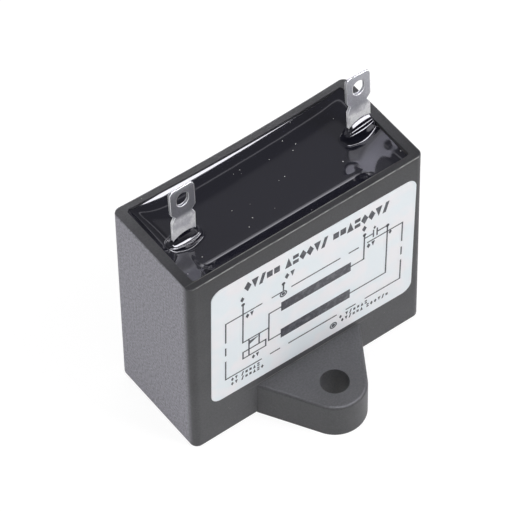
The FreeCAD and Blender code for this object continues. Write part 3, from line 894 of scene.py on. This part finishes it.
def add_line(bm, points, width, height):
    """A line of ink through points, its strokes lengthened by half a width so that corners close."""
    for start, end in zip(points, points[1:]):
        a = Vector(start)
        b = Vector(end)
        along = (b - a).normalized() * (width / 2)
        add_stroke(bm, a - along, b + along, width, height)


def add_ring(bm, centre, radius, width, height, sides=28):
    """A ring of ink, or a dot where the width is the radius."""
    inner = radius - width
    for step in range(sides):
        turns = [2 * math.pi * (step + part) / sides for part in (0, 1)]
        outer = [(centre[0] + radius * math.cos(t), centre[1] + radius * math.sin(t)) for t in turns]
        if inner > 0:
            hole = [(centre[0] + inner * math.cos(t), centre[1] + inner * math.sin(t)) for t in turns]
            add_block(bm, [hole[0], outer[0], outer[1], hole[1]], height)
        else:
            add_block(bm, [centre, outer[0], outer[1]], height)


def add_chain(bm, start, end, runs, width, height):
    """A broken line: only the given runs of it are inked."""
    a = Vector(start)
    b = Vector(end)
    for first, last in runs:
        add_line(bm, [a.lerp(b, first), a.lerp(b, last)], width, height)


def add_marks(bm, left, foot, size, advance, counts, height):
    """Groups of plain marks in a row, with a gap between groups."""
    place = left
    turn = 0
    for count in counts:
        for _ in range(count):
            for outline in MARKS[(turn * 5 + turn // 4) % len(MARKS)]:
                corners = [(place + u * size * MARK_STRETCH, foot + v * size) for u, v in outline]
                add_block(bm, corners, height)
            place += advance
            turn += 1
        place += advance * GROUP_GAP


def print_mesh(look):
    """The label's print: a plain wiring figure and rows of plain marks."""
    bm = bmesh.new()
    line = look.line_width / MM
    height = look.ink_height / MM
    ends = (CHAIN_LEFT, CHAIN_RIGHT)
    corners = [(x, CHAIN_TOP) for x in ends] + [(x, CHAIN_FOOT) for x in reversed(ends)]
    for index, runs in enumerate((LONG_RUNS, SHORT_RUNS, LONG_RUNS, SHORT_RUNS)):
        add_chain(bm, corners[index], corners[(index + 1) % 4], runs, line, height)
    for middle in (UPPER_BAR, LOWER_BAR):
        add_stroke(bm, (BAR_LEFT, middle), (BAR_RIGHT, middle), BAR_HEIGHT, height)
    wires = (
        ((FEED_X, FEED_TOP), (FEED_X, FEED_FOOT), (BRACKET_X, FEED_FOOT)),
        ((BAR_LEFT, UPPER_BAR), (BRACKET_X, UPPER_BAR), (BRACKET_X, LOWER_BAR), (BAR_LEFT, LOWER_BAR)),
        ((SWITCH_LEFT, FEED_FOOT), (SWITCH_LEFT, SWITCH_FOOT)),
        ((SWITCH_RIGHT, FEED_FOOT), (SWITCH_RIGHT, RELAY_TOP)),
        ((RETURN_X, RETURN_TOP), (RETURN_X, UPPER_BAR), (BAR_RIGHT, UPPER_BAR)),
        ((LOOP_X, BRANCH_Z), (LOOP_X, LOWER_BAR), (BAR_RIGHT, LOWER_BAR)),
        ((RETURN_X, BRANCH_Z), (PLATE_LEFT, BRANCH_Z)),
        ((PLATE_RIGHT, BRANCH_Z), (LOOP_X, BRANCH_Z)),
        ((PLATE_LEFT, BRANCH_Z - PLATE_REACH), (PLATE_LEFT, BRANCH_Z + PLATE_REACH)),
        ((PLATE_RIGHT, BRANCH_Z - PLATE_REACH), (PLATE_RIGHT, BRANCH_Z + PLATE_REACH)),
        ((EARTH_X, EARTH_TOP), (EARTH_X, EARTH_RING + EARTH_RADIUS)),
        (
            (RELAY_LEFT, RELAY_TOP),
            (RELAY_RIGHT, RELAY_TOP),
            (RELAY_RIGHT, RELAY_FOOT),
            (RELAY_LEFT, RELAY_FOOT),
            (RELAY_LEFT, RELAY_TOP),
        ),
    )
    for points in wires:
        add_line(bm, points, line, height)
    add_block(bm, [(SWITCH_LEFT, WEDGE_FOOT), (SWITCH_RIGHT, WEDGE_TIP), (SWITCH_LEFT, WEDGE_TOP)], height)
    *ring, ring_radius = ROW_RING
    add_ring(bm, (EARTH_X, EARTH_RING), EARTH_RADIUS, line, height)
    add_ring(bm, ring, ring_radius, line, height)
    feeds = [(FEED_X, FEED_TOP), (RETURN_X, RETURN_TOP), (LOOP_X, BRANCH_Z)]
    for knob in [(EARTH_X, EARTH_RING), (EARTH_X, EARTH_TOP), ring] + feeds:
        add_ring(bm, knob, KNOB_RADIUS, KNOB_RADIUS, height)
    add_marks(bm, HEADING_LEFT, HEADING_FOOT, HEADING_HEIGHT, HEADING_ADVANCE, HEADING_GROUPS, height)
    for left, foot, counts in ROWS:
        add_marks(bm, left, foot, ROW_HEIGHT, ROW_ADVANCE, counts, height)
    for left, foot, size, count in SIGNS:
        add_marks(bm, left, foot, size, size * SIGN_ADVANCE, (count,), height)
    bmesh.ops.recalc_face_normals(bm, faces=bm.faces)
    bm.transform(label_axes(look))
    mesh = bpy.data.meshes.new("label_print")
    bm.to_mesh(mesh)
    bm.free()
    return mesh


def label_axes(look):
    """Turns millimetres on the label's face, right, up and out, into the part's own metres."""
    middle = (LABEL_LOW + LABEL_HIGH) / 2
    right = Vector((math.cos(look.turn), 0, -math.sin(look.turn)))
    up = Vector((math.sin(look.turn), 0, math.cos(look.turn)))
    out = Vector((0, -1, 0))
    axes = Matrix((right, up, out)).transposed().to_4x4()
    return Matrix.Translation((middle.x, LABEL_LOW.y, middle.z)) @ axes @ Matrix.Scale(MM, 4)


class CAPACITOR_OT_label(bpy.types.Operator):
    """Finish the paper label and print its figure"""

    bl_idname = "capacitor.label"
    bl_label = "Diagram label"

    def execute(self, context):
        look = context.scene.capacitor_label
        dress("diagram_label", coated_label_paper(look))
        piece = bpy.data.objects.new("label_print", print_mesh(look))
        finish_piece(piece, screened_ink(look))
        return {"FINISHED"}


class CAPACITOR_OT_winding(bpy.types.Operator):
    """Finish the winding, its sprayed ends, its leads and their solder"""

    bl_idname = "capacitor.winding"
    bl_label = "Winding and leads"

    def execute(self, context):
        look = context.scene.capacitor_inner
        dress("film_winding", wound_film("wound_metallised_film", look.film, 0.3, 0.6, 0.35))
        dress("winding_wrap", wound_film("clear_wrap_film", look.wrap, 0.4, 0.0, 0.2))
        spray = fine_metal("flame_sprayed_zinc", look.spray, 0.6, 0.25, 0.05)
        wire = fine_metal("drawn_tinned_copper", look.wire, 0.25, 0.5, 0.004)
        solder = fine_metal("flowed_solder", look.solder, 0.2, 0.9, 0.02)
        for hand in ("left", "right"):
            dress("end_spray_" + hand, spray)
            dress("lead_wire_" + hand, wire)
            dress("end_solder_" + hand, solder)
            dress("tail_solder_" + hand, solder)
        return {"FINISHED"}


# Soft lights: direction from the case, distance, width, height and the brightness of each one's face.
# Polished faces see the world's panel, strip and window instead of them.
LIGHTS = (
    ("key", (0.363, -0.505, 0.783), 1.0, 0.3, 0.3, 15.0),
    ("rear_strip", (0.555, 0.772, 0.309), 1.2, 1.6, 0.42, 3.0),
    ("side", (-0.82, 0.45, 0.36), 1.2, 0.9, 0.7, 3.0),
)
DIFFUSE_LEVEL = 0.5
WHITE = (1, 1, 1, 1)
SHEEN_COLOUR = linear("#f8f7ff")
# How much of the floor glows white to the camera and to polished faces, and how brightly
FLOOR_SHARE, FLOOR_GLOW = 0.8, 1.09

# What polished faces see, in degrees: a dim ceiling, a pale panel with a bright hem overhead, a white
# backdrop low down and, above the backdrop behind the case, a strip of light that fades upwards
CEILING_LEVEL = 0.3
PANEL_LEVEL = 0.56
PANEL_MIDDLE = (0.41, 0.53, 0.743)
PANEL_RADIUS = 10.0
PANEL_FADE = 6.0
HEM_MIDDLE = (0.363, 0.461, 0.81)
HEM_RADIUS = 25.0
HEM_HALF_WIDTH = 1.3
HEM_LEVEL = 2.6
BACKDROP_TOP = 14.0
BACKDROP_FADE = 10.0
STRIP_MIDDLE = (0.375, 0.927, 0.0)
STRIP_HALF_WIDTH = 18.0
STRIP_WIDTH_FADE = 8.0
STRIP_FOOT = 18.0
STRIP_TOP = 36.0
STRIP_LEVEL = 3.0
# The key as polished faces see it: a long window
WINDOW_MIDDLE = (0.213, -0.529, 0.821)
WINDOW_LONG = (0.964, 0.111, -0.178)
WINDOW_SHORT = (0.0, 0.841, 0.542)
WINDOW_HALF_LENGTH = 40.0
WINDOW_HALF_WIDTH = 8.5
WINDOW_LEVEL = 22.0


def cosine(degrees):
    return math.cos(math.radians(degrees))


def add_across(tree, toward, axis, half_degrees):
    """A mask of the directions within half a width to either side of a window's middle line."""
    off = add_node(tree, "ShaderNodeVectorMath", {0: toward, 1: axis}, operation="DOT_PRODUCT")
    away = add_node(tree, "ShaderNodeMath", {0: off}, operation="ABSOLUTE")
    return add_node(
        tree,
        "ShaderNodeMapRange",
        {
            "Value": away,
            "From Min": math.sin(math.radians(half_degrees * 1.04)),
            "From Max": math.sin(math.radians(half_degrees * 0.96)),
        },
    )


def add_mirrored(tree, rays):
    """1 for the rays that polished and clear faces send on, 0 for the others."""
    return add_node(
        tree,
        "ShaderNodeMath",
        {0: rays.outputs["Is Glossy Ray"], 1: rays.outputs["Is Transmission Ray"]},
        operation="MAXIMUM",
    )


def add_panel(tree, toward):
    """The pale panel overhead, with its bright hem."""
    near = add_node(tree, "ShaderNodeVectorMath", {0: toward, 1: PANEL_MIDDLE}, operation="DOT_PRODUCT")
    panel = add_node(
        tree,
        "ShaderNodeMapRange",
        {
            "Value": near,
            "From Min": cosine(PANEL_RADIUS + PANEL_FADE),
            "From Max": cosine(PANEL_RADIUS),
            "To Max": PANEL_LEVEL,
        },
        interpolation_type="SMOOTHSTEP",
    )
    by_hem = add_node(tree, "ShaderNodeVectorMath", {0: toward, 1: HEM_MIDDLE}, operation="DOT_PRODUCT")
    off = add_node(tree, "ShaderNodeMath", {0: by_hem, 1: cosine(HEM_RADIUS)}, operation="SUBTRACT")
    away = add_node(tree, "ShaderNodeMath", {0: off}, operation="ABSOLUTE")
    hem = add_node(
        tree,
        "ShaderNodeMapRange",
        {
            "Value": away,
            "From Max": cosine(HEM_RADIUS - HEM_HALF_WIDTH) - cosine(HEM_RADIUS),
            "To Min": HEM_LEVEL,
            "To Max": 0.0,
        },
    )
    return panel, hem


def add_strip(tree, toward, height):
    """The strip of light above the backdrop, behind the case."""
    level = add_node(tree, "ShaderNodeVectorMath", {0: toward, 1: (1, 1, 0)}, operation="MULTIPLY")
    heading = add_node(tree, "ShaderNodeVectorMath", {0: level}, operation="NORMALIZE")
    near = add_node(tree, "ShaderNodeVectorMath", {0: heading, 1: STRIP_MIDDLE}, operation="DOT_PRODUCT")
    width = add_node(
        tree,
        "ShaderNodeMapRange",
        {
            "Value": near,
            "From Min": cosine(STRIP_HALF_WIDTH + STRIP_WIDTH_FADE),
            "From Max": cosine(STRIP_HALF_WIDTH),
        },
        interpolation_type="SMOOTHSTEP",
    )
    fade = add_node(
        tree,
        "ShaderNodeMapRange",
        {
            "Value": height,
            "From Min": cosine(90 - STRIP_FOOT),
            "From Max": cosine(90 - STRIP_TOP),
            "To Min": STRIP_LEVEL,
            "To Max": 0.0,
        },
        interpolation_type="SMOOTHSTEP",
    )
    return add_node(tree, "ShaderNodeMath", {0: width, 1: fade}, operation="MULTIPLY")


def add_window(tree, toward):
    """The window, as a mask of the directions in it."""
    long = add_across(tree, toward, WINDOW_LONG, WINDOW_HALF_LENGTH)
    short = add_across(tree, toward, WINDOW_SHORT, WINDOW_HALF_WIDTH)
    both = add_node(tree, "ShaderNodeMath", {0: long, 1: short}, operation="MULTIPLY")
    ahead = add_node(tree, "ShaderNodeVectorMath", {0: toward, 1: WINDOW_MIDDLE}, operation="DOT_PRODUCT")
    this_side = add_node(tree, "ShaderNodeMath", {0: ahead, 1: 0.0}, operation="GREATER_THAN")
    return add_node(tree, "ShaderNodeMath", {0: both, 1: this_side}, operation="MULTIPLY")


def studio_world():
    """Studio air: it lights softly, is white to the camera and shows polished faces a panel and more."""
    world = bpy.data.worlds.new("studio_air")
    world.use_nodes = True
    tree = world.node_tree
    tree.nodes.clear()
    toward = add_node(tree, "ShaderNodeTexCoord").outputs["Generated"]
    height = add_node(tree, "ShaderNodeSeparateXYZ", {0: toward}).outputs["Z"]
    backdrop = add_node(
        tree,
        "ShaderNodeMapRange",
        {
            "Value": height,
            "From Min": cosine(90 - BACKDROP_TOP + BACKDROP_FADE),
            "From Max": cosine(90 - BACKDROP_TOP),
            "To Min": 1.0,
            "To Max": CEILING_LEVEL,
        },
        interpolation_type="SMOOTHSTEP",
    )
    panel, hem = add_panel(tree, toward)
    strip = add_strip(tree, toward, height)
    broad = add_node(tree, "ShaderNodeMath", {0: backdrop, 1: panel}, operation="MAXIMUM")
    overhead = add_node(tree, "ShaderNodeMath", {0: broad, 1: hem}, operation="ADD")
    glow = add_node(tree, "ShaderNodeMath", {0: overhead, 1: strip}, operation="ADD")
    window = add_window(tree, toward)
    seen = add_node(
        tree, "ShaderNodeMath", {0: window, 1: WINDOW_LEVEL, 2: glow}, operation="MULTIPLY_ADD"
    )
    rays = add_node(tree, "ShaderNodeLightPath")
    soft = add_node(tree, "ShaderNodeBackground", {"Color": WHITE, "Strength": DIFFUSE_LEVEL})
    mirrored = add_node(tree, "ShaderNodeBackground", {"Color": SHEEN_COLOUR, "Strength": seen})
    white = add_node(tree, "ShaderNodeBackground", {"Color": WHITE, "Strength": 1.0})
    air = add_node(tree, "ShaderNodeMixShader", {0: add_mirrored(tree, rays), 1: soft, 2: mirrored})
    all_rays = add_node(tree, "ShaderNodeMixShader", {0: rays, 1: air, 2: white})
    add_node(tree, "ShaderNodeOutputWorld", {"Surface": all_rays})
    return world


def pale_floor(look):
    """A sheet of matt white laminate, lit so that it shows white and keeps the object's shadow."""
    material, tree, _ = start_material("matt_white_laminate")
    rays = add_node(tree, "ShaderNodeLightPath")
    seen = add_node(tree, "ShaderNodeMath", {0: rays, 1: add_mirrored(tree, rays)}, operation="MAXIMUM")
    share = add_node(tree, "ShaderNodeMath", {0: seen, 1: FLOOR_SHARE}, operation="MULTIPLY")
    matt = add_node(tree, "ShaderNodeBsdfDiffuse", {"Color": look.floor_colour})
    glow = add_node(tree, "ShaderNodeEmission", {"Color": WHITE, "Strength": FLOOR_GLOW})
    surface = add_node(tree, "ShaderNodeMixShader", {0: share, 1: matt, 2: glow})
    add_node(tree, "ShaderNodeOutputMaterial", {"Surface": surface})
    return material


def add_floor(look, radius=3.0, sides=64):
    """A wide round floor under the case."""
    bm = bmesh.new()
    bmesh.ops.create_circle(bm, cap_ends=True, segments=sides, radius=radius)
    mesh = bpy.data.meshes.new("floor")
    bm.to_mesh(mesh)
    bm.free()
    floor = bpy.data.objects.new("floor", mesh)
    bpy.context.scene.collection.objects.link(floor)
    mesh.materials.append(pale_floor(look))


def add_light(name, direction, distance, width, height, glow):
    """A soft box that faces the case. Its power is worked out from how brightly its face glows."""
    lamp = bpy.data.lights.new(name, "AREA")
    lamp.shape = "RECTANGLE"
    lamp.size = width
    lamp.size_y = height
    lamp.energy = glow * math.pi * width * height
    light = bpy.data.objects.new(name, lamp)
    light.visible_glossy = False
    bpy.context.scene.collection.objects.link(light)
    aim = Vector(direction).normalized()
    light.location = aim * distance + MIDDLE
    light.rotation_euler = aim.to_track_quat("Z", "Y").to_euler()


def add_camera(look):
    """The camera, framed by stepping aside from the line through the middle of the case."""
    aside, ahead = math.sin(look.azimuth), math.cos(look.azimuth)
    down, along = math.sin(look.elevation), math.cos(look.elevation)
    forward = Vector((-aside * along, ahead * along, -down))
    level = Vector((ahead, aside, 0))
    upright = level.cross(forward)
    right = level * math.cos(look.roll) + upright * math.sin(look.roll)
    up = upright * math.cos(look.roll) - level * math.sin(look.roll)
    spot = MIDDLE - forward * look.distance - right * look.side_step + up * look.rise
    data = bpy.data.cameras.new("camera")
    data.sensor_width = 36
    data.lens = look.lens
    camera = bpy.data.objects.new("camera", data)
    bpy.context.scene.collection.objects.link(camera)
    axes = Matrix((right, up, -forward)).transposed().to_4x4()
    camera.matrix_world = Matrix.Translation(spot) @ axes
    bpy.context.scene.camera = camera


class CAPACITOR_OT_stage(bpy.types.Operator):
    """Set the floor, the lights and the camera"""

    bl_idname = "capacitor.stage"
    bl_label = "Studio"

    def execute(self, context):
        look = context.scene.capacitor_stage
        context.scene.world = studio_world()
        add_floor(look)
        for light in LIGHTS:
            add_light(*light)
        add_camera(look)
        context.scene.view_settings.view_transform = "Standard"
        return {"FINISHED"}


STEPS = (
    CAPACITOR_OT_case,
    CAPACITOR_OT_resin,
    CAPACITOR_OT_terminals,
    CAPACITOR_OT_label,
    CAPACITOR_OT_winding,
    CAPACITOR_OT_stage,
)


class CAPACITOR_PT_panel(bpy.types.Panel):
    """Lists the steps that finish the capacitor"""

    bl_idname = "CAPACITOR_PT_panel"
    bl_label = "Motor run capacitor"
    bl_space_type = "VIEW_3D"
    bl_region_type = "UI"
    bl_category = "Capacitor"

    def draw(self, context):
        for step in STEPS:
            self.layout.operator(step.bl_idname)


LOOKS = {
    "capacitor_case": CaseLook,
    "capacitor_resin": ResinLook,
    "capacitor_terminal": TerminalLook,
    "capacitor_label": LabelLook,
    "capacitor_inner": InnerLook,
    "capacitor_stage": StageLook,
}


def register():
    for name, group in LOOKS.items():
        bpy.utils.register_class(group)
        setattr(bpy.types.Scene, name, bpy.props.PointerProperty(type=group))
    for step in STEPS:
        bpy.utils.register_class(step)
    bpy.utils.register_class(CAPACITOR_PT_panel)


def unregister():
    bpy.utils.unregister_class(CAPACITOR_PT_panel)
    for step in reversed(STEPS):
        bpy.utils.unregister_class(step)
    for name, group in reversed(LOOKS.items()):
        delattr(bpy.types.Scene, name)
        bpy.utils.unregister_class(group)


def main():
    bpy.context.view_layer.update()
    register()
    bpy.ops.capacitor.case()
    bpy.ops.capacitor.resin()
    bpy.ops.capacitor.terminals()
    bpy.ops.capacitor.label()
    bpy.ops.capacitor.winding()
    bpy.ops.capacitor.stage()


if __name__ == "__main__":
    main()
